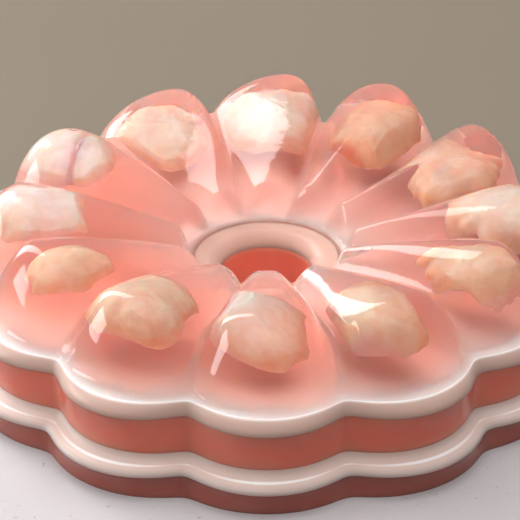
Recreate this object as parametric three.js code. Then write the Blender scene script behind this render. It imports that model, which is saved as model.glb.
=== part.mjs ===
// Moulded layered jelly with a fluted, petalled top and a round hole, served on a flat round plate.
// Millimetres, +Z up. The origin is the centre of the plate's foot, on the surface it stands on.
// The jelly's surface is one ring-shaped skin of loops; each poured layer is a closed ring between two level planes.

import * as THREE from 'three';

// ---- plate ----
const PLATE_RADIUS = 140.5;
const PLATE_TOP = 11;
const PLATE_RIM_UNDERSIDE = 6.5;
const PLATE_BELLY = 5;
const PLATE_EDGE_ROUND = 2.2;
const PLATE_EDGE_STEPS = 5;
const FOOT_OUTER_RADIUS = 74;
const FOOT_INNER_RADIUS = 66;
const FOOT_RECESS = 3;
const FOOT_FLARE = 3;
const PLATE_SEGMENTS = 72;

// ---- levels where one poured layer meets the next, above the plate ----
const LIP_LEVEL = 8;
const MIDDLE_LEVEL = 13;
const LEDGE_LEVEL = 26;
const PETAL_LEVEL = 30.5;

// ---- petals ----
const PETALS = 12;
const HALF_PETAL = Math.PI / PETALS;
const STEPS_PER_PETAL = 8;
const NOSE_RADIUS = 25.6;
const NOSE_TOP = { r: 29.5, z: 42 };
const SHELF_HEIGHT = 31;
const CREST_PEAK = { r: 77, z: 55.8 };
const CREST_FOOT = { r: 90.8, z: 32.6 };
const CREST_BEND = 1.3;
const CREST_ROUNDNESS = 1.75;
const VALLEY_START = { r: 29, z: 32.2 };
const VALLEY_PEAK = { r: 71.5, z: 42.6 };
const VALLEY_FOOT = { r: 84.8, z: 31.8 };
const VALLEY_BEND = 1.6;
const VALLEY_ROUNDNESS = 1.3;
const NOSE_STEPS = 3;
const INNER_STEPS = 7;
const OUTER_STEPS = 7;

// Cross-section of a petal: a dome with a small round-bottomed crease at each side.
const DOME_POWER = 2.06;
const NOSE_ROUNDNESS = 2.4;
const BULB_ROUNDNESS = 1.4;
const CREASE_START = 0.96;
const CREASE_DEPTH = 0.2;
const CREASE_SOFTNESS = 3;

// Each petal set a little differently. The list starts at the petal on -Y and runs anticlockwise.
const PETAL_RISE = [0, -0.4, 0.3, 0, 1, 2.4, 0.6, -0.4, 0, -0.5, 0, 0.3];
const PETAL_REACH = [0, 0.4, 0, 0.5, 0.6, 0.4, 2, 0, -0.3, 0, 0.4, 0];
const PETAL_TURN = [0, 0.4, -0.3, 0, 0.8, 0, 0, 0.5, 2.4, 0.6, 0, -0.4].map(THREE.MathUtils.degToRad);
// The crease that follows each petal of the lists above.
const CREASE_RISE = [0, -0.5, 0.4, -0.6, -5, 0.5, 4, 4, 0, 0.5, 0, -0.4];

// ---- fluted sides: [radius at a lobe, radius at a notch, height], from the petals' foot down to the plate ----
const LEDGE_SIDE = [[92.4, 86, 31.6], [94, 87, PETAL_LEVEL]];
const UPPER_SIDE = [[94, 87, PETAL_LEVEL], [95.7, 87.9, 29.2], [96.8, 88.5, 27.6], [97.1, 88.7, LEDGE_LEVEL]];
const MIDDLE_SIDE = [[97.1, 88.7, LEDGE_LEVEL], [95.4, 88, 20], [94, 87.4, MIDDLE_LEVEL]];
const LOWER_SIDE = [[94, 87.4, MIDDLE_LEVEL], [94.1, 87.7, 11.4], [95.4, 88.8, 10.6], [98.4, 91.4, 10.1],
  [99.7, 92.6, 9.2], [100, 92.9, LIP_LEVEL]];
const BASE_SIDE = [[100, 92.9, LIP_LEVEL], [98.7, 92.2, 6.4], [97.7, 91.9, 3.6], [97.3, 92.1, 0]];
const LOBE_CENTRE = 70;
const LOBE_RADIUS = 27;
const NOTCH_SOFTNESS = 0.12;

// ---- the hole and its rounded rim: [radius, height] ----
const PETAL_RIM = [[22.4, PETAL_LEVEL], [24.4, 30.8]];
const HOLE_AT_LEDGE = [14.1, LEDGE_LEVEL];
const UPPER_RIM = [HOLE_AT_LEDGE, [14.6, 27.4], [15.8, 28.8], [17.8, 30], [20.2, 30.4], [22.4, PETAL_LEVEL]];
const HOLE_AT_MIDDLE = [13.4, MIDDLE_LEVEL];
const HOLE_AT_LIP = [13.1, LIP_LEVEL];
const HOLE_AT_BASE = [12.6, 0];

const STEPS = PETALS * STEPS_PER_PETAL;

// Step number -> which petal it lies on and how far across, -1 and 1 at the creases, 0 on the crest.
function placeOnPetal(step) {
  const petal = Math.floor(step / STEPS_PER_PETAL);
  const share = (step % STEPS_PER_PETAL) / STEPS_PER_PETAL;
  return { petal, across: Math.sin((share - 0.5) * Math.PI) };
}

function dome(across, roundness) {
  const q = Math.min(Math.abs(across) / CREASE_START, 1);
  const raw = (1 - q ** DOME_POWER) ** (1 / roundness);
  const soften = (s) => (s ** CREASE_SOFTNESS + CREASE_DEPTH ** CREASE_SOFTNESS) ** (1 / CREASE_SOFTNESS);
  return (soften(raw) - CREASE_DEPTH) / (soften(1) - CREASE_DEPTH);
}

// Outline of one lobe seen from above, 1 at its middle and 0 in the softened notch.
function lobe(across) {
  const arc = (q) => {
    const angle = q * HALF_PETAL;
    const side = LOBE_CENTRE * Math.sin(angle);
    return LOBE_CENTRE * Math.cos(angle) + Math.sqrt(LOBE_RADIUS ** 2 - side ** 2);
  };
  const fromNotch = 1 - Math.abs(across);
  const soft = Math.hypot(fromNotch, NOTCH_SOFTNESS) - NOTCH_SOFTNESS;
  const softened = soft / (Math.hypot(1, NOTCH_SOFTNESS) - NOTCH_SOFTNESS);
  return (arc(1 - softened) - arc(1)) / (arc(0) - arc(1));
}

// Heights along a crest or crease: an easing rise from start to peak, then a rounded fall to the foot.
function ridgeLine(start, peak, foot, bend, roundness) {
  const points = [];
  for (let i = 0; i <= INNER_STEPS; i++) {
    const s = i / INNER_STEPS;
    points.push({
      r: THREE.MathUtils.lerp(start.r, peak.r, s),
      z: THREE.MathUtils.lerp(start.z, peak.z, 1 - (1 - s) ** bend),
    });
  }
  for (let i = 1; i <= OUTER_STEPS; i++) {
    const turn = (i / OUTER_STEPS) * (Math.PI / 2);
    points.push({
      r: peak.r + (foot.r - peak.r) * Math.sin(turn) ** (2 / roundness),
      z: foot.z + (peak.z - foot.z) * Math.cos(turn) ** (2 / roundness),
    });
  }
  return points;
}

// The petals' rounded inner noses, from the shelf round the rim up to where the ridge lines start.
function noseLine(top) {
  const points = [];
  for (let i = 0; i < NOSE_STEPS; i++) {
    const turn = (i / NOSE_STEPS) * (Math.PI / 2);
    points.push({
      r: top.r - (top.r - NOSE_RADIUS) * Math.cos(turn),
      z: SHELF_HEIGHT + (top.z - SHELF_HEIGHT) * Math.sin(turn),
    });
  }
  return points;
}

const CREST = [
  ...noseLine(NOSE_TOP),
  ...ridgeLine(NOSE_TOP, CREST_PEAK, CREST_FOOT, CREST_BEND, CREST_ROUNDNESS),
];
const CREASE = [
  ...noseLine(VALLEY_START),
  ...ridgeLine(VALLEY_START, VALLEY_PEAK, VALLEY_FOOT, VALLEY_BEND, VALLEY_ROUNDNESS),
];

// A loop is one turn round the axis: a list of points, one for each step.
function makeLoop(pointAt) {
  const loop = [];
  for (let step = 0; step < STEPS; step++) {
    const { petal, across } = placeOnPetal(step);
    const { r, z, shift = 0 } = pointAt(petal, across);
    const angle = (2 * petal + across) * HALF_PETAL + shift - Math.PI / 2;
    loop.push(new THREE.Vector3(r * Math.cos(angle), r * Math.sin(angle), z));
  }
  return loop;
}

function petalLoop(level) {
  const shareOut = Math.min((CREST[level].r - NOSE_RADIUS) / (CREST_PEAK.r - NOSE_RADIUS), 1);
  const roundness = THREE.MathUtils.lerp(NOSE_ROUNDNESS, BULB_ROUNDNESS, Math.sqrt(shareOut));
  const shareUp = (z, peak) => THREE.MathUtils.clamp((z - SHELF_HEIGHT) / (peak - SHELF_HEIGHT), 0, 1);
  return makeLoop((petal, across) => {
    const crestShare = shareUp(CREST[level].z, CREST_PEAK.z);
    const creaseShare = shareUp(CREASE[level].z, VALLEY_PEAK.z);
    const neighbour = (petal + Math.sign(across) + PETALS) % PETALS;
    const crease = across < 0 ? neighbour : petal;
    const low = { r: CREASE[level].r, z: CREASE[level].z + CREASE_RISE[crease] * creaseShare };
    const high = {
      r: CREST[level].r + PETAL_REACH[petal] * crestShare,
      z: CREST[level].z + PETAL_RISE[petal] * crestShare,
    };
    const share = dome(across, roundness);
    const turn = THREE.MathUtils.lerp(PETAL_TURN[petal], (PETAL_TURN[petal] + PETAL_TURN[neighbour]) / 2,
      Math.abs(across));
    return {
      r: THREE.MathUtils.lerp(low.r, high.r, share),
      z: THREE.MathUtils.lerp(low.z, high.z, share),
      shift: turn * crestShare,
    };
  });
}

const sideLoop = ([lobeRadius, notchRadius, z]) =>
  makeLoop((petal, across) => ({ r: THREE.MathUtils.lerp(notchRadius, lobeRadius, lobe(across)), z }));
const roundLoop = ([r, z]) => makeLoop(() => ({ r, z }));

// A closed ring-shaped skin through the loops, the last joined to the first.
function ringGeometry(loops) {
  const positions = [];
  const indices = [];
  for (const loop of loops) {
    for (const point of loop) positions.push(point.x, point.y, point.z);
  }
  for (let i = 0; i < loops.length; i++) {
    const row = i * STEPS;
    const nextRow = ((i + 1) % loops.length) * STEPS;
    for (let step = 0; step < STEPS; step++) {
      const next = (step + 1) % STEPS;
      indices.push(row + step, nextRow + step, nextRow + next);
      indices.push(row + step, nextRow + next, row + next);
    }
  }
  const geometry = new THREE.BufferGeometry();
  geometry.setAttribute('position', new THREE.Float32BufferAttribute(positions, 3));
  geometry.setIndex(indices);
  geometry.computeVertexNormals();
  return geometry;
}

// A poured layer: up the hole's wall, out over its top and down its fluted side.
function layerGeometry(holeUp, sideDown) {
  return ringGeometry([...holeUp.map(roundLoop), ...sideDown.map(sideLoop)]);
}

function petalGeometry() {
  const petals = CREST.map((_, level) => petalLoop(level));
  return ringGeometry([...PETAL_RIM.map(roundLoop), ...petals, ...LEDGE_SIDE.map(sideLoop)]);
}

function plateGeometry() {
  const edge = PLATE_RADIUS - PLATE_EDGE_ROUND;
  const middle = (PLATE_TOP + PLATE_RIM_UNDERSIDE) / 2;
  const halfThick = (PLATE_TOP - PLATE_RIM_UNDERSIDE) / 2;
  const points = [
    new THREE.Vector2(0, FOOT_RECESS),
    new THREE.Vector2(FOOT_INNER_RADIUS - FOOT_FLARE, FOOT_RECESS),
    new THREE.Vector2(FOOT_INNER_RADIUS, 0),
    new THREE.Vector2(FOOT_OUTER_RADIUS, 0),
    new THREE.Vector2(FOOT_OUTER_RADIUS + FOOT_FLARE, PLATE_BELLY),
  ];
  for (let i = 0; i <= PLATE_EDGE_STEPS; i++) {
    const turn = (i / PLATE_EDGE_STEPS - 0.5) * Math.PI;
    points.push(new THREE.Vector2(edge + PLATE_EDGE_ROUND * Math.cos(turn), middle + halfThick * Math.sin(turn)));
  }
  points.push(new THREE.Vector2(0, PLATE_TOP));
  return new THREE.LatheGeometry(points, PLATE_SEGMENTS).rotateX(Math.PI / 2);
}

function addPart(parent, name, geometry, colour, roughness) {
  const material = new THREE.MeshStandardMaterial({ color: colour, roughness, metalness: 0 });
  const mesh = new THREE.Mesh(geometry, material);
  mesh.name = name;
  parent.add(mesh);
}

const group = new THREE.Group();
addPart(group, 'plate', plateGeometry(), 0xe8e6e9, 0.35);

const jelly = new THREE.Group();
jelly.position.z = PLATE_TOP;
group.add(jelly);
addPart(jelly, 'base_pink_layer', layerGeometry([HOLE_AT_BASE, HOLE_AT_LIP], BASE_SIDE), 0xb4604f, 0.12);
addPart(jelly, 'lower_milk_layer', layerGeometry([HOLE_AT_LIP, HOLE_AT_MIDDLE], LOWER_SIDE), 0xe6dcd8, 0.2);
addPart(jelly, 'middle_pink_layer', layerGeometry([HOLE_AT_MIDDLE, HOLE_AT_LEDGE], MIDDLE_SIDE), 0xc8604c, 0.12);
addPart(jelly, 'upper_milk_layer', layerGeometry(UPPER_RIM, UPPER_SIDE), 0xeee6e4, 0.2);
addPart(jelly, 'petal_jelly_layer', petalGeometry(), 0xee9486, 0.08);

export default group;
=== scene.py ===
"""Looks of the layered moulded jelly: clear pink petals with sunk lychees, milk layers and a speckled plate.

The jelly's skin follows the CAD part's named sizes, in millimetres above the plate, with finer steps. Clear
layers reach a little way into what they touch, so that no air gap shows between them.
"""

import math

import bmesh
import bpy
import numpy as np
from mathutils import Matrix, Vector, noise
from mathutils.bvhtree import BVHTree


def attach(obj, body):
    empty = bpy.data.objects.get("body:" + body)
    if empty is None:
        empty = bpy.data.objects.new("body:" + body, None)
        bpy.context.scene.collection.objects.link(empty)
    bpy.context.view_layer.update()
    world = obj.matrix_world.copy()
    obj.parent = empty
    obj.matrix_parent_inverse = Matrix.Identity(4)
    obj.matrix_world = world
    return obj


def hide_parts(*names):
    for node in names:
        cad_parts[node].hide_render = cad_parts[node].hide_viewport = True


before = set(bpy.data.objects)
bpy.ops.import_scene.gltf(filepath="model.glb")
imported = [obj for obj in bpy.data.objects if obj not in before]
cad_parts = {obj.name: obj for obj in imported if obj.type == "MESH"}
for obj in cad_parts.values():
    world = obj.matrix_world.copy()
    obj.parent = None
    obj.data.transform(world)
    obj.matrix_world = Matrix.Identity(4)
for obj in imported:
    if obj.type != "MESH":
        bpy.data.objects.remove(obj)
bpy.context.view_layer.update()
MM = 0.001

# ---- sizes in millimetres, as in the CAD part ----
PLATE_RADIUS = 140.5
PLATE_TOP = 11
PLATE_RIM_UNDERSIDE = 6.5
PLATE_BELLY = 5
PLATE_EDGE_ROUND = 2.2
FOOT_OUTER_RADIUS = 74
FOOT_INNER_RADIUS = 66
FOOT_RECESS = 3
FOOT_FLARE = 3

LIP_LEVEL = 8
MIDDLE_LEVEL = 13
LEDGE_LEVEL = 26
PETAL_LEVEL = 30.5

PETALS = 12
HALF_PETAL = math.pi / PETALS
NOSE_RADIUS = 25.6
NOSE_TOP = (29.5, 42)
SHELF_HEIGHT = 31
CREST_PEAK = (77, 55.8)
CREST_FOOT = (90.8, 32.6)
CREST_BEND = 1.3
CREST_ROUNDNESS = 1.75
VALLEY_START = (29, 32.2)
VALLEY_PEAK = (71.5, 42.6)
VALLEY_FOOT = (84.8, 31.8)
VALLEY_BEND = 1.6
VALLEY_ROUNDNESS = 1.3
DOME_POWER = 2.06
NOSE_ROUNDNESS = 2.4
BULB_ROUNDNESS = 1.4
ROUNDNESS_EASE = 1.5
CREASE_START = 0.96
CREASE_DEPTH = 0.2
CREASE_SOFTNESS = 3

# petal 0 is in front and the others follow anticlockwise, seen from above
PETAL_RISE = np.array([0, -0.4, 0.3, -2, 1, 2.4, 0.8, -0.2, 0, -0.5, 0, 0.3])
PETAL_REACH = np.array([0, 0.4, 0, 0.5, 0.6, 0.4, 2, 0, -0.3, 0, 0.4, 0])
PETAL_TURN = np.radians([0, 0.4, -0.3, 0, 0.8, 0, 0, 0.5, 2.4, 0.6, 0, -0.4])
CREASE_RISE = np.array([0, -0.5, 0.4, -0.6, -5, 0.5, 4, 4, 0, 0.5, 0, -0.4])

# ---- changes of section, petal by petal, that place the softbox's mirror patches; not in the solids ----
PETAL_LEAN = np.array([0, 0, 0, -0.1, -0.3, -0.2, -0.68, -0.78, 0, 0, 0, 0])
PETAL_TILT = np.array([0, 0, 0, 0, 0, 0, 2.1, 3.3, 0, 0, 0, 0])
SLOPE_FLAT = np.array([0.6, 0.1, 0, 0, 0, 0, 0, 0, 0.2, 0.2, 0.2, 0.2])
BULB_FLAT = np.array([0.25, 0.1, -0.2, 0, 0, 0, 0, 0, 0, 0.1, 0.1, 0.15])
RIDGE_SHARP = np.array([0, 0.6, 0.7, 0.8, 0.8, 0.8, 0, 0, 0, 0, 0, 0])
LEAN_START = 1.5
LEAN_FADE = 0.4
LEAN_FADE_EASE = 4
LEAN_POWER = 1.25
FLAT_POWER = 4
FLAT_EASE = 3
SHARP_ROUNDNESS = 1.1
SHARP_POWER = 1.25
SHARP_PLACE = 0.6

LEDGE_SIDE = [(92.4, 86, 31.6), (94, 87, PETAL_LEVEL)]
UPPER_SIDE = [(94, 87, PETAL_LEVEL), (95.7, 87.9, 29.2), (96.8, 88.5, 27.6), (97.1, 88.7, LEDGE_LEVEL)]
MIDDLE_SIDE = [(97.1, 88.7, LEDGE_LEVEL), (95.4, 88, 20), (94, 87.4, MIDDLE_LEVEL)]
LOWER_SIDE = [(94, 87.4, MIDDLE_LEVEL), (94.1, 87.7, 11.4), (95.4, 88.8, 10.6), (98.4, 91.4, 10.1),
              (99.7, 92.6, 9.2), (100, 92.9, LIP_LEVEL)]
BASE_SIDE = [(100, 92.9, LIP_LEVEL), (98.7, 92.2, 6.4), (97.7, 91.9, 3.6), (97.3, 92.1, 0)]
LOBE_CENTRE = 70
LOBE_RADIUS = 27
NOTCH_SOFTNESS = 0.12

PETAL_RIM = [(22.4, PETAL_LEVEL), (24.4, 30.8)]
HOLE_AT_LEDGE = (14.1, LEDGE_LEVEL)
UPPER_RIM = [HOLE_AT_LEDGE, (14.6, 27.4), (15.8, 28.8), (17.8, 30), (20.2, 30.4), (22.4, PETAL_LEVEL)]
HOLE_AT_MIDDLE = (13.4, MIDDLE_LEVEL)
HOLE_AT_LIP = (13.1, LIP_LEVEL)
HOLE_AT_BASE = (12.6, 0)

# ---- camera: metres and radians, its focus and the picture's side in pixels, the sensor in millimetres ----
CAMERA_DISTANCE = 0.855
CAMERA_RISE = math.radians(31.11)
CAMERA_PITCH = math.radians(29.4)
CAMERA_YAW = math.radians(-0.16)
CAMERA_ROLL = math.radians(-0.23)
CAMERA_FOCUS = 2672
PICTURE_SIDE = 520
SENSOR_WIDTH = 36
CLIP_RANGE = (0.05, 50)

# ---- fineness of the visible meshes ----
STEPS_PER_PETAL = 40
STEPS = PETALS * STEPS_PER_PETAL
NOSE_STEPS = 8
INNER_STEPS = 34
OUTER_STEPS = 26
SIDE_STEPS = 5
SINK = 0.3
SMOOTH_ANGLE = math.radians(55)
PLATE_SEGMENTS = 288
PLATE_EDGE_STEPS = 17

# ---- colours: a pair is the two ends of a faint cloud or speckle ----
PINK_TINT = (0.99, 0.30, 0.12)
CLEAR_PINKS = ((1, 0.94, 0.92), (1, 0.91, 0.89))
MIDDLE_PINKS = ((1, 0.26, 0.18), (1, 0.21, 0.14))
BASE_PINKS = ((0.78, 0.26, 0.20), (0.71, 0.20, 0.15))
# painted light and shade on the milk, by height: the lip and the upper side are darker as painted shade, the
# neck is lighter as painted light in its groove, and the shoulder steps up to the flat top, which is near
# white as painted light; the pink next to the pink layers is partly colour seeping in and partly painted
# shade and pink light bounced from them
MILK_SHADED_LIP = (0.45, 0.375, 0.35)
MILK_SHADED_UPPER = (0.47, 0.345, 0.30)
MILK_LIT_NECK = (0.68, 0.53, 0.48)
MILK_PINK = (0.49, 0.30, 0.25)
# painted shade, tinged pink, round the hole's rim
RIM_SHADE_PINK = (0.50, 0.315, 0.26)
MILK_SHOULDER = (0.56, 0.45, 0.41)
MILK_LIT_TOP = (0.97, 0.94, 0.93)
# heights and colours of the milk's painted light and shade bands
MILK_SHADE_BANDS = [(7.5, MILK_PINK), (8.4, MILK_SHADED_LIP), (9.8, MILK_SHADED_LIP), (10.6, MILK_LIT_NECK), (12.4, MILK_LIT_NECK),
              (13.5, MILK_PINK), (25.5, MILK_PINK), (27.2, MILK_SHADED_UPPER), (29.8, MILK_SHADED_UPPER),
              (30.1, MILK_SHOULDER), (30.42, MILK_LIT_TOP), (30.49, MILK_LIT_TOP)]
MILK_CLOUDS = ((1, 1, 1), (0.95, 0.93, 0.92))
GLAZES = ((0.25, 0.245, 0.255), (0.385, 0.375, 0.385))
FLOOR_PAINTS = ((0.145, 0.122, 0.094), (0.157, 0.132, 0.103))
# lit and shaded copies of the flesh: its colour and veins on top, painted light, then low down, painted
# shade; the lit copy is also whitened as a painted highlight
LIT_FLESH = ((0.71, 0.78, 0.75), (0.65, 0.61, 0.54), (0.69, 0.59, 0.47), (0.62, 0.44, 0.29))
SHADED_FLESH = ((0.64, 0.57, 0.45), (0.58, 0.42, 0.29), (0.61, 0.39, 0.24), (0.56, 0.285, 0.15))
WORLD_COLOUR = (1, 0.87, 0.81)
WORLD_STRENGTH = 0.28

# ---- looks ----
MILK_BAND_REACH = 60
# upward part of the normal across which flat milk faces take the near-white top colour, painted light
MILK_LIT_FACING = (0.985, 0.995)
# distances from the axis across which the milk takes the pink painted shade round the hole's rim
MILK_RIM_SHADE_REACH = (26 * MM, 23 * MM)
HOLE_CLOUD_REACH = (18 * MM, 30 * MM)
HOLE_CLEARNESS = 0.05
CLEAR_DENSITY, CLEAR_CLEARNESS = 30, 0.96
MIDDLE_DENSITY, MIDDLE_CLEARNESS = 18, 0.38
BASE_DENSITY, BASE_CLEARNESS = 40, 0.6
CLEAR_SCATTER = (0.03, 0.012, 0.009)
MIDDLE_SCATTER = (0.009, 0.003, 0.002)
BASE_SCATTER = (0.006, 0.003, 0.002)
MILK_SCATTER = (0.009, 0.005, 0.004)
LYCHEE_SCATTER = (0.02, 0.008, 0.0045)
SPECK_RANGE = (0.24, 0.33)
VEIN_RANGE = (0.38, 0.66)
CLEAR_COAT = 0.35
COAT_ROUGHNESS = 0.03

# ---- light ----
FLOOR_HALF_SIDE = 6
LIGHT_DISTANCE = 1.5
# name, degrees above the floor, degrees from straight behind (+Y) towards +X, width, height, watts, mirrored
SOFTBOXES = [
    ("key_softbox", 33, -38.5, 0.48, 1.8, 16, True),
    ("key_fill", 29, -52, 0.95, 1.3, 18, False),
    ("side_softbox", 14, -88, 0.9, 0.6, 12, True),
    ("top_softbox", 78, 170, 2.0, 2.0, 37, False),
]

# ---- lychees: half a peeled fruit each, in millimetres and degrees ----
PLAIN_LYCHEE = dict(across=0, turn=0, tilt=0, torn=0.06, square=2.3, taper=0, lumps=0.7, fold=None)
LYCHEE_SEED = 40
LYCHEE_TURN_STEPS = 120
LYCHEE_OUTER_STEPS = 30
LYCHEE_INNER_STEPS = 12
LYCHEE_SPAN = 100
LYCHEE_RIM_WAVES = ((2, 3, 5), (8, 13), 0.35)
LYCHEE_HEIGHT_WAVES = ((3, 5), (9, 14), 0.25)
LYCHEE_INNER_RIM = 0.95
LYCHEE_COVER = 0.7
LYCHEE_COVER_CHANGE = 0.6
LYCHEE_SWEEP = math.radians(98)
LYCHEE_HOLLOW = 0.68
LYCHEE_LUMP_SCALE = 0.11
LYCHEE_STRIPE_SCALE = 0.35
LYCHEE_STRIPE_STRETCH = 0.25
LYCHEE_STRIPE = 0.36
LYCHEE_FOLD_DEPTH = 2.4
LYCHEE_FOLD_WIDTH = 1.1
LYCHEE_SIDE_LIMIT = 0.84
LYCHEE_SIDE_SOFTNESS = 6
# heights across which the flesh goes from painted shade low down to painted light on top
LYCHEE_SHADE_LEVEL = PLATE_TOP + 41
LYCHEE_LIT_LEVEL = PLATE_TOP + 53


def lychee(petal, r, top, length, width, depth, **changes):
    """One piece: its petal, distance out, highest point and size, and what differs from the plain one."""
    return dict(PLAIN_LYCHEE, petal=petal, r=r, top=top, length=length, width=width, depth=depth, **changes)


# lychees in these petals, in front on the shaded side, take the painted-shade flesh; the rest take the
# painted-light flesh
SHADED_FLESH_PETALS = (10, 11, 1, 2, 5)
LYCHEES = [
    lychee(11, 70.5, 55, 29, 31, 9.5, across=-0.07, torn=0.1, lumps=0.5),
    lychee(0, 68, 52, 37, 22, 9, across=-0.12, turn=60, tilt=14, taper=-0.15, square=2.2, lumps=0.5),
    lychee(1, 72, 52.5, 34, 25, 9, across=-0.18, turn=5, square=3, lumps=0.5),
    lychee(2, 74, 52.5, 32, 20, 8, across=-0.08, taper=0.25, torn=0.14, lumps=1.2),
    lychee(3, 74, 50.5, 31, 26, 10, torn=0.12, lumps=0.8),
    lychee(4, 68, 46.5, 28, 21, 7, across=-0.05, lumps=0.9, torn=0.12, tilt=-2),
    lychee(5, 66, 51, 31, 24, 9, across=-0.12, tilt=-8, lumps=1.1),
    lychee(6, 65, 51, 32, 29, 9, across=-0.03, tilt=-6),
    lychee(7, 65, 49, 32, 28, 8, across=0.02, tilt=-8),
    lychee(8, 71, 55, 29, 27, 9, across=0.12, fold=(-3, 15)),
    lychee(9, 71, 54.5, 28, 25, 9, across=0.1, lumps=1, torn=0.09),
    lychee(10, 71, 53.5, 25, 16, 7, across=0.13, lumps=0.9),
]


# ---- forms ----
def across_steps():
    """Petal number and place across it, -1 and 1 at the creases, for each step round the ring."""
    step = np.arange(STEPS)
    share = (step % STEPS_PER_PETAL) / STEPS_PER_PETAL
    return step // STEPS_PER_PETAL, np.sin((share - 0.5) * math.pi)


PETAL, ACROSS = across_steps()


def dome(across, roundness, lean, power):
    """Height across a petal, 1 on its crest and 0 in its creases; lean moves the crest off the middle."""
    q = np.where(across > lean, (across - lean) / (1 - lean), (lean - across) / (1 + lean))
    q = np.minimum(q / CREASE_START, 1)
    raw = (1 - q ** power) ** (1 / roundness)

    def soften(s):
        return (s ** CREASE_SOFTNESS + CREASE_DEPTH ** CREASE_SOFTNESS) ** (1 / CREASE_SOFTNESS)

    return (soften(raw) - CREASE_DEPTH) / (soften(1) - CREASE_DEPTH)


def lobe(across):
    """Outline of one lobe seen from above, 1 at its middle and 0 in the softened notch."""
    def arc(q):
        angle = q * HALF_PETAL
        side = LOBE_CENTRE * np.sin(angle)
        return LOBE_CENTRE * np.cos(angle) + np.sqrt(LOBE_RADIUS ** 2 - side ** 2)

    from_notch = 1 - np.abs(across)
    soft = np.hypot(from_notch, NOTCH_SOFTNESS) - NOTCH_SOFTNESS
    softened = soft / (math.hypot(1, NOTCH_SOFTNESS) - NOTCH_SOFTNESS)
    return (arc(1 - softened) - arc(1)) / (arc(0) - arc(1))


def lerp(a, b, t):
    return a + (b - a) * t


def ridge_line(start, peak, foot, bend, roundness):
    """Radius and height along a crest or crease: an easing rise, then a rounded fall to the foot."""
    s = np.arange(INNER_STEPS + 1) / INNER_STEPS
    rise = np.stack([lerp(start[0], peak[0], s), lerp(start[1], peak[1], 1 - (1 - s) ** bend)], 1)
    turn = np.arange(1, OUTER_STEPS + 1) / OUTER_STEPS * math.pi / 2
    fall_r = peak[0] + (foot[0] - peak[0]) * np.sin(turn) ** (2 / roundness)
    fall_z = foot[1] + (peak[1] - foot[1]) * np.maximum(np.cos(turn), 0) ** (2 / roundness)
    return np.concatenate([rise, np.stack([fall_r, fall_z], 1)])


def nose_line(top):
    """Radius and height along the steep inner end of a crest or crease."""
    turn = np.arange(NOSE_STEPS) / NOSE_STEPS * math.pi / 2
    r = top[0] - (top[0] - NOSE_RADIUS) * np.cos(turn)
    z = SHELF_HEIGHT + (top[1] - SHELF_HEIGHT) * np.sin(turn)
    return np.stack([r, z], 1)


CREST = np.concatenate([nose_line(NOSE_TOP),
                        ridge_line(NOSE_TOP, CREST_PEAK, CREST_FOOT, CREST_BEND, CREST_ROUNDNESS)])
CREASE = np.concatenate([nose_line(VALLEY_START),
                         ridge_line(VALLEY_START, VALLEY_PEAK, VALLEY_FOOT, VALLEY_BEND, VALLEY_ROUNDNESS)])


def loop_points(r, z, shift=0.0):
    """One turn round the axis, in metres, with the plate's top under height 0."""
    angle = (2 * PETAL + ACROSS) * HALF_PETAL + shift - math.pi / 2
    z = np.broadcast_to(z, angle.shape)
    return np.stack([r * np.cos(angle), r * np.sin(angle), z + PLATE_TOP], 1) * MM


def petal_section(share_out, share_round):
    """Roundness, power, lean and tilt of the section, for each step round the ring."""
    leaning = math.sin(min(share_out * LEAN_START, 1) * math.pi / 2) * (1 - share_round) ** 2
    leaning *= 1 - LEAN_FADE * share_out ** LEAN_FADE_EASE
    lean = PETAL_LEAN[PETAL] * leaning
    tilt = PETAL_TILT[PETAL] * leaning
    flatness = lerp(SLOPE_FLAT[PETAL], BULB_FLAT[PETAL], share_out ** FLAT_EASE)
    straightness = np.abs(lean) * (tilt > 0) * (ACROSS > lean)
    power = DOME_POWER + (FLAT_POWER - DOME_POWER) * flatness + (LEAN_POWER - DOME_POWER) * straightness
    sharp = RIDGE_SHARP[PETAL] * math.sin(math.pi * share_out ** SHARP_PLACE)
    roundness = lerp(NOSE_ROUNDNESS, BULB_ROUNDNESS, share_out ** ROUNDNESS_EASE)
    return lerp(roundness, SHARP_ROUNDNESS, sharp), lerp(power, SHARP_POWER, sharp), lean, tilt


def petal_loop(level):
    """One turn round the petals' skin, at one level along their crests and creases."""
    crest_r, crest_z = CREST[level]
    crease_r, crease_z = CREASE[level]
    share_out = np.clip((crest_r - NOSE_RADIUS) / (CREST_PEAK[0] - NOSE_RADIUS), 0, 1)
    share_round = max(level - NOSE_STEPS - INNER_STEPS, 0) / OUTER_STEPS
    roundness, power, lean, tilt = petal_section(share_out, share_round)
    crest_share = np.clip((crest_z - SHELF_HEIGHT) / (CREST_PEAK[1] - SHELF_HEIGHT), 0, 1)
    crease_share = np.clip((crease_z - SHELF_HEIGHT) / (VALLEY_PEAK[1] - SHELF_HEIGHT), 0, 1)
    crease = np.where(ACROSS < lean, (PETAL - 1) % PETALS, PETAL)
    low_z = crease_z + CREASE_RISE[crease] * crease_share
    high_r = crest_r + PETAL_REACH[PETAL] * crest_share
    high_z = crest_z + PETAL_RISE[PETAL] * crest_share - tilt * (1 + ACROSS)
    share = dome(ACROSS, roundness, lean, power)
    neighbour = (PETAL + np.sign(ACROSS).astype(int)) % PETALS
    middle_turn = (PETAL_TURN[PETAL] + PETAL_TURN[neighbour]) / 2
    turn = lerp(PETAL_TURN[PETAL], middle_turn, np.abs(ACROSS))
    return loop_points(lerp(crease_r, high_r, share), lerp(low_z, high_z, share), turn * crest_share)


def round_loop(point):
    """A round turn about the axis, at one radius and height."""
    return loop_points(np.full(STEPS, float(point[0])), point[1])


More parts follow.
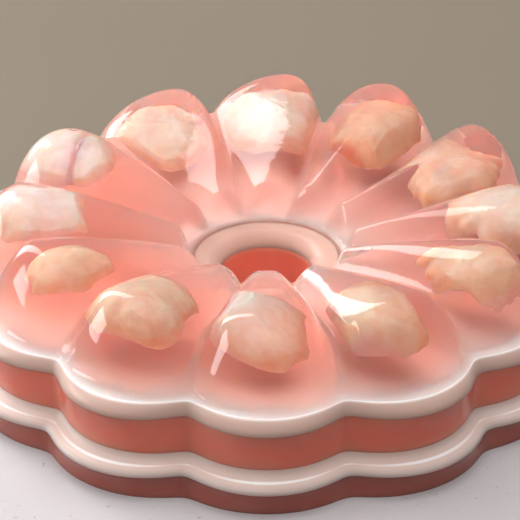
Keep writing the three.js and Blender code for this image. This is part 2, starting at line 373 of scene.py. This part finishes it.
def side_loop(row):
    """A fluted turn about the axis, from its radii at the lobes and notches and its height."""
    lobe_radius, notch_radius, z = row
    return loop_points(lerp(notch_radius, lobe_radius, lobe(ACROSS)), z)


def smooth_rows(rows):
    """Rows of sizes joined by a Catmull-Rom curve through them."""
    rows = np.array(rows, float)
    last = len(rows) - 1
    out = []
    for i in range(last):
        before, a, b, after = rows[max(i - 1, 0)], rows[i], rows[i + 1], rows[min(i + 2, last)]
        for t in np.arange(SIDE_STEPS) / SIDE_STEPS:
            slope_a, slope_b = (b - before) / 2, (after - a) / 2
            out.append((2 * a - 2 * b + slope_a + slope_b) * t ** 3
                       + (3 * b - 3 * a - 2 * slope_a - slope_b) * t ** 2 + slope_a * t + a)
    return out + [rows[-1]]


def ring_object(name, loops):
    """A closed ring-shaped mesh through the loops, the last joined to the first."""
    count = len(loops)
    row = np.arange(count)[:, None] * STEPS
    next_row = (np.arange(count)[:, None] + 1) % count * STEPS
    step = np.arange(STEPS)[None]
    following = (step + 1) % STEPS
    faces = np.stack([row + step, next_row + step, next_row + following, row + following], -1)
    mesh = bpy.data.meshes.new(name)
    mesh.from_pydata(np.concatenate(loops).tolist(), [], faces.reshape(-1, 4).tolist())
    mesh.shade_smooth()
    mesh.set_sharp_from_angle(angle=SMOOTH_ANGLE)
    piece = bpy.data.objects.new(name, mesh)
    bpy.context.collection.objects.link(piece)
    return piece


def layer_object(name, hole_up, side_down, sink=0.0):
    """A poured layer: up the hole's wall, over its top, down its side; sink takes it into its neighbours."""
    hole_up, side_down = smooth_rows(hole_up), smooth_rows(side_down)

    def sunk_loops(hole_end, side_end, rise):
        (r, z), (lobe_r, notch_r, _) = hole_end, side_end
        return [round_loop((r + sink, z + rise)), side_loop((lobe_r - sink, notch_r - sink, z + rise))]

    over = sunk_loops(hole_up[-1], side_down[0], sink) if sink else []
    under = sunk_loops(hole_up[0], side_down[-1], -sink)[::-1] if sink else []
    hole, side = [round_loop(point) for point in hole_up], [side_loop(row) for row in side_down]
    return ring_object(name, hole + over + side + under)


def petal_object():
    """The clear top layer: in from the hole's rim, over the petals, out to the ledge."""
    loops = [round_loop(p) for p in PETAL_RIM]
    loops += [petal_loop(level) for level in range(len(CREST))]
    loops += [side_loop(p) for p in smooth_rows(LEDGE_SIDE)]
    edge = LEDGE_SIDE[-1]
    loops.append(side_loop((edge[0] - SINK, edge[1] - SINK, edge[2] - SINK)))
    rim = PETAL_RIM[0]
    loops.append(round_loop((rim[0] + SINK, rim[1] - SINK)))
    return ring_object("petal_jelly", loops)


def plate_object():
    """The plate turned on a lathe: its foot ring, its rounded edge and its flat top."""
    middle = (PLATE_TOP + PLATE_RIM_UNDERSIDE) / 2
    half_thick = (PLATE_TOP - PLATE_RIM_UNDERSIDE) / 2
    profile = [(FOOT_INNER_RADIUS - FOOT_FLARE, FOOT_RECESS), (FOOT_INNER_RADIUS, 0), (FOOT_OUTER_RADIUS, 0),
               (FOOT_OUTER_RADIUS + FOOT_FLARE, PLATE_BELLY)]
    for turn in np.linspace(-math.pi / 2, math.pi / 2, PLATE_EDGE_STEPS):
        profile.append((PLATE_RADIUS - PLATE_EDGE_ROUND + PLATE_EDGE_ROUND * math.cos(turn),
                        middle + half_thick * math.sin(turn)))
    mesh = bmesh.new()
    angles = np.arange(PLATE_SEGMENTS) / PLATE_SEGMENTS * 2 * math.pi
    rings = [[mesh.verts.new((r * math.cos(a) * MM, r * math.sin(a) * MM, z * MM)) for a in angles]
             for r, z in profile]
    for lower, upper in zip(rings, rings[1:]):
        for i in range(PLATE_SEGMENTS):
            j = (i + 1) % PLATE_SEGMENTS
            mesh.faces.new((lower[i], lower[j], upper[j], upper[i]))
    mesh.faces.new(rings[-1])
    mesh.faces.new(rings[0][::-1])
    bmesh.ops.recalc_face_normals(mesh, faces=mesh.faces)
    return mesh_object("serving_plate", mesh)


def mesh_object(name, mesh):
    data = bpy.data.meshes.new(name)
    mesh.to_mesh(data)
    mesh.free()
    data.shade_smooth()
    data.set_sharp_from_angle(angle=SMOOTH_ANGLE)
    piece = bpy.data.objects.new(name, data)
    bpy.context.collection.objects.link(piece)
    return piece


# ---- lychees ----
def waves(angle, counts, rng):
    """A closed uneven curve round a turn, from a few seeded waves; it stays near -1 to 1."""
    total = 0
    for count in counts:
        height = rng.uniform(0.5, 1)
        start = rng.uniform(0, 2 * math.pi)
        total = total + height * np.sin(count * angle + start) / len(counts) * 2
    return total


def uneven(angle, wave_rows, rng):
    """Broad waves with a share of fine ones."""
    broad, fine, fine_share = wave_rows
    return waves(angle, broad, rng) + fine_share * waves(angle, fine, rng)


def lychee_shell(row, rng):
    """The plain half fruit, lengthways along X with its highest point at the origin, in millimetres."""
    turn = np.arange(LYCHEE_TURN_STEPS) / LYCHEE_TURN_STEPS * 2 * math.pi
    power = row["square"]
    square = (np.abs(np.cos(turn)) ** power + np.abs(np.sin(turn)) ** power) ** (-1 / power)
    rim = square * (1 + row["torn"] * uneven(turn, LYCHEE_RIM_WAVES, rng))
    rim_height = row["torn"] * uneven(turn, LYCHEE_HEIGHT_WAVES, rng)
    half_length, half_width, depth = row["length"] / 2, row["width"] / 2, row["depth"]
    taper = 1 + row["taper"] * np.cos(turn)
    rows = []
    for share in np.linspace(0, 1, LYCHEE_OUTER_STEPS)[1:]:
        swing = share * LYCHEE_SWEEP
        out = math.sin(min(swing, math.pi / 2)) * lerp(1, rim, share)
        rows.append((out, (math.cos(swing) - 1) * (1 + rim_height * share ** 2)))
    edge_out, edge_down = rows[-1]
    for share in np.linspace(0, 1, LYCHEE_INNER_STEPS)[1:-1]:
        rows.append((edge_out * (1 - share) * LYCHEE_INNER_RIM,
                     lerp(edge_down, LYCHEE_HOLLOW - 1, math.sin(share * math.pi / 2))))
    mesh = bmesh.new()
    top = mesh.verts.new((0, 0, 0))
    rings = []
    for out, down in rows:
        rings.append([mesh.verts.new((half_length * o * math.cos(a), half_width * o * t * math.sin(a),
                                      depth * d)) for o, d, a, t in zip(out, down, turn, taper)])
    inside = mesh.verts.new((0, 0, depth * (LYCHEE_HOLLOW - 1)))
    for i in range(LYCHEE_TURN_STEPS):
        j = (i + 1) % LYCHEE_TURN_STEPS
        mesh.faces.new((top, rings[0][i], rings[0][j]))
        for upper, lower in zip(rings, rings[1:]):
            mesh.faces.new((upper[i], lower[i], lower[j], upper[j]))
        mesh.faces.new((rings[-1][i], inside, rings[-1][j]))
    bmesh.ops.recalc_face_normals(mesh, faces=mesh.faces)
    mesh.normal_update()
    return mesh


def roughen(mesh, row, seed_place):
    """Lumps, fine stripes along the fruit and, on one piece, a deep fold."""
    for vert in mesh.verts:
        along = Vector((vert.co.x * LYCHEE_STRIPE_STRETCH, vert.co.y, vert.co.z)) * LYCHEE_STRIPE_SCALE
        lump = noise.fractal(vert.co * LYCHEE_LUMP_SCALE + seed_place, 1.0, 2.0, 2) * row["lumps"]
        stripe = noise.fractal(along + seed_place, 1.0, 2.0, 3) * LYCHEE_STRIPE
        fold = 0
        if row["fold"] is not None:
            place, swing = row["fold"]
            way = math.radians(swing)
            away = vert.co.x * math.cos(way) + vert.co.y * math.sin(way) - place
            fold = -LYCHEE_FOLD_DEPTH * math.exp(-(away / LYCHEE_FOLD_WIDTH) ** 2)
        vert.co += vert.normal * (lump + stripe + fold)


def sink_in_petal(mesh, row, skin, seed_place):
    """Keep the fruit between its petal's creases, under the jelly's skin and above the milk."""
    floor = (PETAL_LEVEL + PLATE_TOP + SINK) * MM
    middle = row["petal"] * 2 * HALF_PETAL - math.pi / 2
    limit = LYCHEE_SIDE_LIMIT * HALF_PETAL
    for vert in mesh.verts:
        swing = math.atan2(vert.co.y, vert.co.x) - middle
        swing = (swing + math.pi) % (2 * math.pi) - math.pi
        kept = swing / (1 + abs(swing / limit) ** LYCHEE_SIDE_SOFTNESS) ** (1 / LYCHEE_SIDE_SOFTNESS)
        out = math.hypot(vert.co.x, vert.co.y)
        vert.co.x, vert.co.y = out * math.cos(middle + kept), out * math.sin(middle + kept)
        change = noise.noise(vert.co / MM * LYCHEE_LUMP_SCALE + seed_place)
        cover = LYCHEE_COVER * MM * (1 + LYCHEE_COVER_CHANGE * change)
        near, normal, _, _ = skin.find_nearest(vert.co)
        if (vert.co - near).dot(normal) > -cover:
            vert.co = near - normal * cover
        vert.co.z = max(vert.co.z, floor)


def lychee_object(number, row, skin):
    """Half a peeled lychee, hollow below and torn round its rim, sunk in a petal."""
    rng = np.random.default_rng(LYCHEE_SEED + number)
    mesh = lychee_shell(row, rng)
    seed_place = Vector(rng.uniform(-LYCHEE_SPAN, LYCHEE_SPAN, 3))
    roughen(mesh, row, seed_place)
    angle = (row["petal"] + row["across"]) * 2 * HALF_PETAL - math.pi / 2
    place = Vector((row["r"] * math.cos(angle), row["r"] * math.sin(angle), row["top"] + PLATE_TOP)) * MM
    mesh.transform(Matrix.Translation(place)
                   @ Matrix.Rotation(angle + math.radians(row["turn"]), 4, "Z")
                   @ Matrix.Rotation(math.radians(row["tilt"]), 4, "Y") @ Matrix.Diagonal((MM, MM, MM, 1)))
    sink_in_petal(mesh, row, skin, seed_place)
    return mesh_object(f"lychee_{number}", mesh)


# ---- camera ----
def place_camera():
    """The photograph's viewpoint: in front of petal 0, 31 degrees above the plate, looking 29 down."""
    flat = math.cos(CAMERA_PITCH)
    look = Vector((math.sin(CAMERA_YAW) * flat, math.cos(CAMERA_YAW) * flat, -math.sin(CAMERA_PITCH)))
    level = look.cross(Vector((0, 0, 1))).normalized()
    up = level.cross(look)
    right = level * math.cos(CAMERA_ROLL) + up * math.sin(CAMERA_ROLL)
    above = up * math.cos(CAMERA_ROLL) - level * math.sin(CAMERA_ROLL)
    turn = Matrix((right, above, -look)).transposed().to_4x4()
    place = (0, -CAMERA_DISTANCE * math.cos(CAMERA_RISE),
             CAMERA_DISTANCE * math.sin(CAMERA_RISE) + PLATE_TOP * MM)
    data = bpy.data.cameras.new("camera")
    data.sensor_width = SENSOR_WIDTH
    data.lens = SENSOR_WIDTH * CAMERA_FOCUS / PICTURE_SIDE
    data.clip_start, data.clip_end = CLIP_RANGE
    camera = bpy.data.objects.new("camera", data)
    camera.matrix_world = Matrix.Translation(place) @ turn
    bpy.context.collection.objects.link(camera)
    bpy.context.scene.camera = camera


place_camera()


# ---- materials: noise scales in repeats a metre, bump distances in millimetres ----
def new_material(name):
    material = bpy.data.materials.new(name)
    material.use_nodes = True
    tree = material.node_tree
    return material, tree, tree.nodes["Principled BSDF"]


def set_sockets(target, **sockets):
    """Set a node's own sockets by name, with an underscore for each space."""
    for name, value in sockets.items():
        target.inputs[name.replace("_", " ")].default_value = value


def node(tree, kind, **sockets):
    made = tree.nodes.new(kind)
    set_sockets(made, **sockets)
    return made


def own_place(tree, what="Object"):
    """Each point's place, or its normal, in the part's own frame."""
    return tree.nodes.new("ShaderNodeTexCoord").outputs[what]


def upward(tree, vector):
    """The upward part of a vector."""
    split = tree.nodes.new("ShaderNodeSeparateXYZ")
    tree.links.new(vector, split.inputs["Vector"])
    return split.outputs["Z"]


def axis_distance(tree):
    """Distance from the jelly's axis, in metres."""
    flat = tree.nodes.new("ShaderNodeVectorMath")
    flat.operation = "MULTIPLY"
    flat.inputs[1].default_value = (1, 1, 0)
    away = tree.nodes.new("ShaderNodeVectorMath")
    away.operation = "LENGTH"
    tree.links.new(own_place(tree), flat.inputs[0])
    tree.links.new(flat.outputs["Vector"], away.inputs[0])
    return away.outputs["Value"]


def place_noise(tree, scale, detail=3.0, roughness=0.55, distortion=0.0):
    """Noise in the part's own frame."""
    texture = node(tree, "ShaderNodeTexNoise", Scale=scale, Detail=detail, Roughness=roughness,
                   Distortion=distortion)
    tree.links.new(own_place(tree), texture.inputs["Vector"])
    return texture.outputs["Fac"]


def spread(tree, value, low, high, from_low=0.3, from_high=0.7):
    """Map a value from one range to another, held at both ends."""
    made = node(tree, "ShaderNodeMapRange", From_Min=from_low, From_Max=from_high, To_Min=low, To_Max=high)
    tree.links.new(value, made.inputs["Value"])
    return made.outputs["Result"]


def blend_colours(tree, value, first, second, from_low=0.3, from_high=0.7):
    ramp = tree.nodes.new("ShaderNodeValToRGB")
    for stop, place, colour in zip(ramp.color_ramp.elements, (from_low, from_high), (first, second)):
        stop.position = place
        stop.color = (*colour, 1)
    tree.links.new(value, ramp.inputs["Fac"])
    return ramp.outputs["Color"]


def mix_colours(tree, share, first, second, way="MIX"):
    """First where share is 0, second where it is 1; share and second are outputs of nodes or plain values."""
    mix = tree.nodes.new("ShaderNodeMix")
    mix.data_type = "RGBA"
    mix.blend_type = way
    tree.links.new(first, mix.inputs["A"])
    if isinstance(share, bpy.types.NodeSocket):
        tree.links.new(share, mix.inputs["Factor"])
    else:
        mix.inputs["Factor"].default_value = share
    if isinstance(second, bpy.types.NodeSocket):
        tree.links.new(second, mix.inputs["B"])
    else:
        mix.inputs["B"].default_value = (*second, 1)
    return mix.outputs["Result"]


def bump(tree, shader, height, strength, distance, after=None):
    made = node(tree, "ShaderNodeBump", Strength=strength, Distance=distance * MM)
    tree.links.new(height, made.inputs["Height"])
    if after is not None:
        tree.links.new(after, made.inputs["Normal"])
    tree.links.new(made.outputs["Normal"], shader.inputs["Normal"])
    return made.outputs["Normal"]


def uneven_gloss(tree, shader, scale, low, high):
    """Roughness that wanders between two values."""
    tree.links.new(spread(tree, place_noise(tree, scale), low, high), shader.inputs["Roughness"])


def scatter(shader, weight, reach):
    """Light under the skin; reach is how far its red, green and blue travel, in metres."""
    set_sockets(shader, Subsurface_Weight=weight, Subsurface_Radius=reach, Subsurface_Scale=1)


def clear_jelly(name, density, clearness, clouds, reach, coat=0.0):
    """Clear pink jelly: it bends light at its skin and takes up green and blue light on the way through."""
    material, tree, shader = new_material(name)
    set_sockets(shader, Transmission_Weight=clearness, IOR=1.35, Coat_Weight=coat,
                Coat_Roughness=COAT_ROUGHNESS)
    scatter(shader, weight=1, reach=reach)
    tree.links.new(blend_colours(tree, place_noise(tree, scale=60), *clouds), shader.inputs["Base Color"])
    uneven_gloss(tree, shader, scale=90, low=0.01, high=0.05)
    ripple = bump(tree, shader, place_noise(tree, scale=160, detail=2), strength=0.5, distance=0.3)
    bump(tree, shader, place_noise(tree, scale=900, detail=2), strength=0.3, distance=0.05, after=ripple)
    absorb = node(tree, "ShaderNodeVolumeAbsorption", Color=(*PINK_TINT, 1), Density=density)
    tree.links.new(absorb.outputs["Volume"], tree.nodes["Material Output"].inputs["Volume"])
    return material


def cloud_hole(material):
    """The wall of the hole is cloudier than the outside of the same layer."""
    tree = material.node_tree
    clearness = tree.nodes["Principled BSDF"].inputs["Transmission Weight"]
    outside = clearness.default_value
    tree.links.new(spread(tree, axis_distance(tree), HOLE_CLEARNESS, outside, *HOLE_CLOUD_REACH), clearness)


def milk_shade_bands(tree):
    """The milk's colour by its height: painted shade on the lip and upper side, painted light in the neck and
    on the flat top, and a pink tinge where it meets the pink layers, partly colour seeping in and partly
    painted shade and pink light bounced from them.
    """
    tinge = tree.nodes.new("ShaderNodeValToRGB")
    ramp = tinge.color_ramp
    ramp.interpolation = "B_SPLINE"
    for level, colour in MILK_SHADE_BANDS:
        ramp.elements.new((level + PLATE_TOP) / MILK_BAND_REACH).color = (*colour, 1)
    ramp.elements.remove(ramp.elements[0])
    ramp.elements.remove(ramp.elements[-1])
    height = upward(tree, own_place(tree))
    tree.links.new(spread(tree, height, 0, 1, 0, MILK_BAND_REACH * MM), tinge.inputs["Fac"])
    return tinge.outputs["Color"]


def milk_jelly():
    """Milk jelly: faintly cloudy, with painted light and shade in bands by height, near white on its flat
    faces as painted light, and darker pink round the hole's rim as painted shade.
    """
    material, tree, shader = new_material("milk_jelly")
    cloud = blend_colours(tree, place_noise(tree, scale=45, detail=4), *MILK_CLOUDS)
    shaded_bands = mix_colours(tree, 1, milk_shade_bands(tree), cloud, "MULTIPLY")
    level = node(tree, "ShaderNodeMath")
    level.operation = "ABSOLUTE"
    tree.links.new(upward(tree, own_place(tree, "Normal")), level.inputs[0])
    # flat faces, up or down, painted near white as painted light
    lit_flats = spread(tree, level.outputs["Value"], 0, 1, *MILK_LIT_FACING)
    with_lit_flats = mix_colours(tree, lit_flats, shaded_bands, MILK_LIT_TOP)
    # pink painted shade round the hole's rim
    rim_shade = spread(tree, axis_distance(tree), 0, 1, *MILK_RIM_SHADE_REACH)
    tree.links.new(mix_colours(tree, rim_shade, with_lit_flats, RIM_SHADE_PINK), shader.inputs["Base Color"])
    scatter(shader, weight=0.8, reach=MILK_SCATTER)
    set_sockets(shader, IOR=1.42, Specular_IOR_Level=0.25)
    uneven_gloss(tree, shader, scale=70, low=0.14, high=0.28)
    ripple = bump(tree, shader, place_noise(tree, scale=140, detail=2), strength=0.35, distance=0.3)
    bump(tree, shader, place_noise(tree, scale=900), strength=0.3, distance=0.05, after=ripple)
    return material


def plate_glaze():
    """White glaze with faint grey specks."""
    material, tree, shader = new_material("plate_glaze")
    specks = place_noise(tree, scale=520, detail=2, roughness=0.6)
    tree.links.new(blend_colours(tree, specks, *GLAZES, *SPECK_RANGE), shader.inputs["Base Color"])
    uneven_gloss(tree, shader, scale=30, low=0.16, high=0.3)
    bump(tree, shader, place_noise(tree, scale=60, detail=2), strength=0.1, distance=0.3)
    return material


def lychee_flesh(name, colours):
    """Veined flesh, with painted light on top and painted shade low down."""
    material, tree, shader = new_material(name)
    veins = place_noise(tree, scale=160, detail=5, roughness=0.6, distortion=0.6)
    top = blend_colours(tree, veins, *colours[:2], *VEIN_RANGE)
    low = blend_colours(tree, veins, *colours[2:], *VEIN_RANGE)
    height = upward(tree, own_place(tree))
    # painted shade low down, painted light on top
    lit_share = spread(tree, height, 0, 1, LYCHEE_SHADE_LEVEL * MM, LYCHEE_LIT_LEVEL * MM)
    tree.links.new(mix_colours(tree, lit_share, low, top), shader.inputs["Base Color"])
    scatter(shader, weight=1, reach=LYCHEE_SCATTER)
    uneven_gloss(tree, shader, scale=200, low=0.35, high=0.55)
    bump(tree, shader, place_noise(tree, scale=420, detail=4, roughness=0.6), strength=0.7, distance=0.4)
    return material


def floor_paint():
    material, tree, shader = new_material("floor_paint")
    colour = blend_colours(tree, place_noise(tree, scale=3, detail=2), *FLOOR_PAINTS)
    tree.links.new(colour, shader.inputs["Base Color"])
    set_sockets(shader, Roughness=0.8, Specular_IOR_Level=0.2)
    return material


# ---- pieces ----
def dress(piece, material, slot, *nodes):
    piece.data.materials.clear()
    piece.data.materials.append(material)
    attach(piece, "root")
    if nodes:
        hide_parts(*nodes)


petals = petal_object()
upper = layer_object("upper_milk", UPPER_RIM, UPPER_SIDE)
middle = layer_object("middle_pink", [HOLE_AT_MIDDLE, HOLE_AT_LEDGE], MIDDLE_SIDE, sink=SINK)
lower = layer_object("lower_milk", [HOLE_AT_LIP, HOLE_AT_MIDDLE], LOWER_SIDE)
base = layer_object("base_pink", [HOLE_AT_BASE, HOLE_AT_LIP], BASE_SIDE, sink=SINK)

clear_pink = clear_jelly("clear_pink_jelly", CLEAR_DENSITY, CLEAR_CLEARNESS, CLEAR_PINKS, CLEAR_SCATTER,
                         CLEAR_COAT)
middle_pink = clear_jelly("pink_jelly", MIDDLE_DENSITY, MIDDLE_CLEARNESS, MIDDLE_PINKS, MIDDLE_SCATTER)
cloud_hole(middle_pink)
base_pink = clear_jelly("base_pink_jelly", BASE_DENSITY, BASE_CLEARNESS, BASE_PINKS, BASE_SCATTER)
milk = milk_jelly()
dress(petals, clear_pink, "clear_pink_jelly", "petal_jelly_layer")
dress(upper, milk, "milk_jelly", "upper_milk_layer")
dress(middle, middle_pink, "pink_jelly", "middle_pink_layer")
dress(lower, milk, "milk_jelly", "lower_milk_layer")
dress(base, base_pink, "pink_jelly", "base_pink_layer")
dress(plate_object(), plate_glaze(), "plate_glaze", "plate")

# lit and shaded copies of the flesh: painted light and painted shade
lit_flesh = lychee_flesh("lychee_flesh", LIT_FLESH)
shaded_flesh = lychee_flesh("lychee_flesh_shaded", SHADED_FLESH)
petal_skin = BVHTree.FromPolygons([v.co.copy() for v in petals.data.vertices],
                                  [tuple(p.vertices) for p in petals.data.polygons])
for number, row in enumerate(LYCHEES, 1):
    flesh = shaded_flesh if row["petal"] in SHADED_FLESH_PETALS else lit_flesh
    dress(lychee_object(number, row, petal_skin), flesh, "lychee_flesh")


# ---- floor and light ----
def floor_object():
    mesh = bmesh.new()
    bmesh.ops.create_grid(mesh, x_segments=1, y_segments=1, size=FLOOR_HALF_SIDE)
    piece = mesh_object("floor", mesh)
    piece.data.materials.append(floor_paint())


def soft_light(name, rise, swing, width, height, power, mirrored):
    """A softbox aimed at the jelly."""
    data = bpy.data.lights.new(name, "AREA")
    data.shape = "RECTANGLE"
    data.size = width
    data.size_y = height
    data.energy = power
    rise, swing = math.radians(rise), math.radians(swing)
    way = Vector((math.sin(swing) * math.cos(rise), math.cos(swing) * math.cos(rise), math.sin(rise)))
    light = bpy.data.objects.new(name, data)
    light.location = way * LIGHT_DISTANCE
    light.visible_glossy = mirrored
    light.rotation_euler = way.to_track_quat("Z", "Y").to_euler()
    bpy.context.collection.objects.link(light)


floor_object()
for softbox in SOFTBOXES:
    soft_light(*softbox)
world = bpy.data.worlds.new("studio")
world.use_nodes = True
set_sockets(world.node_tree.nodes["Background"], Color=(*WORLD_COLOUR, 1), Strength=WORLD_STRENGTH)
scene = bpy.context.scene
scene.world = world
scene.view_settings.view_transform = "Standard"
# light inside the clear jelly is lost with fewer bounces
scene.cycles.max_bounces = 13
scene.cycles.diffuse_bounces = 4
scene.cycles.glossy_bounces = 4
scene.cycles.transmission_bounces = 11
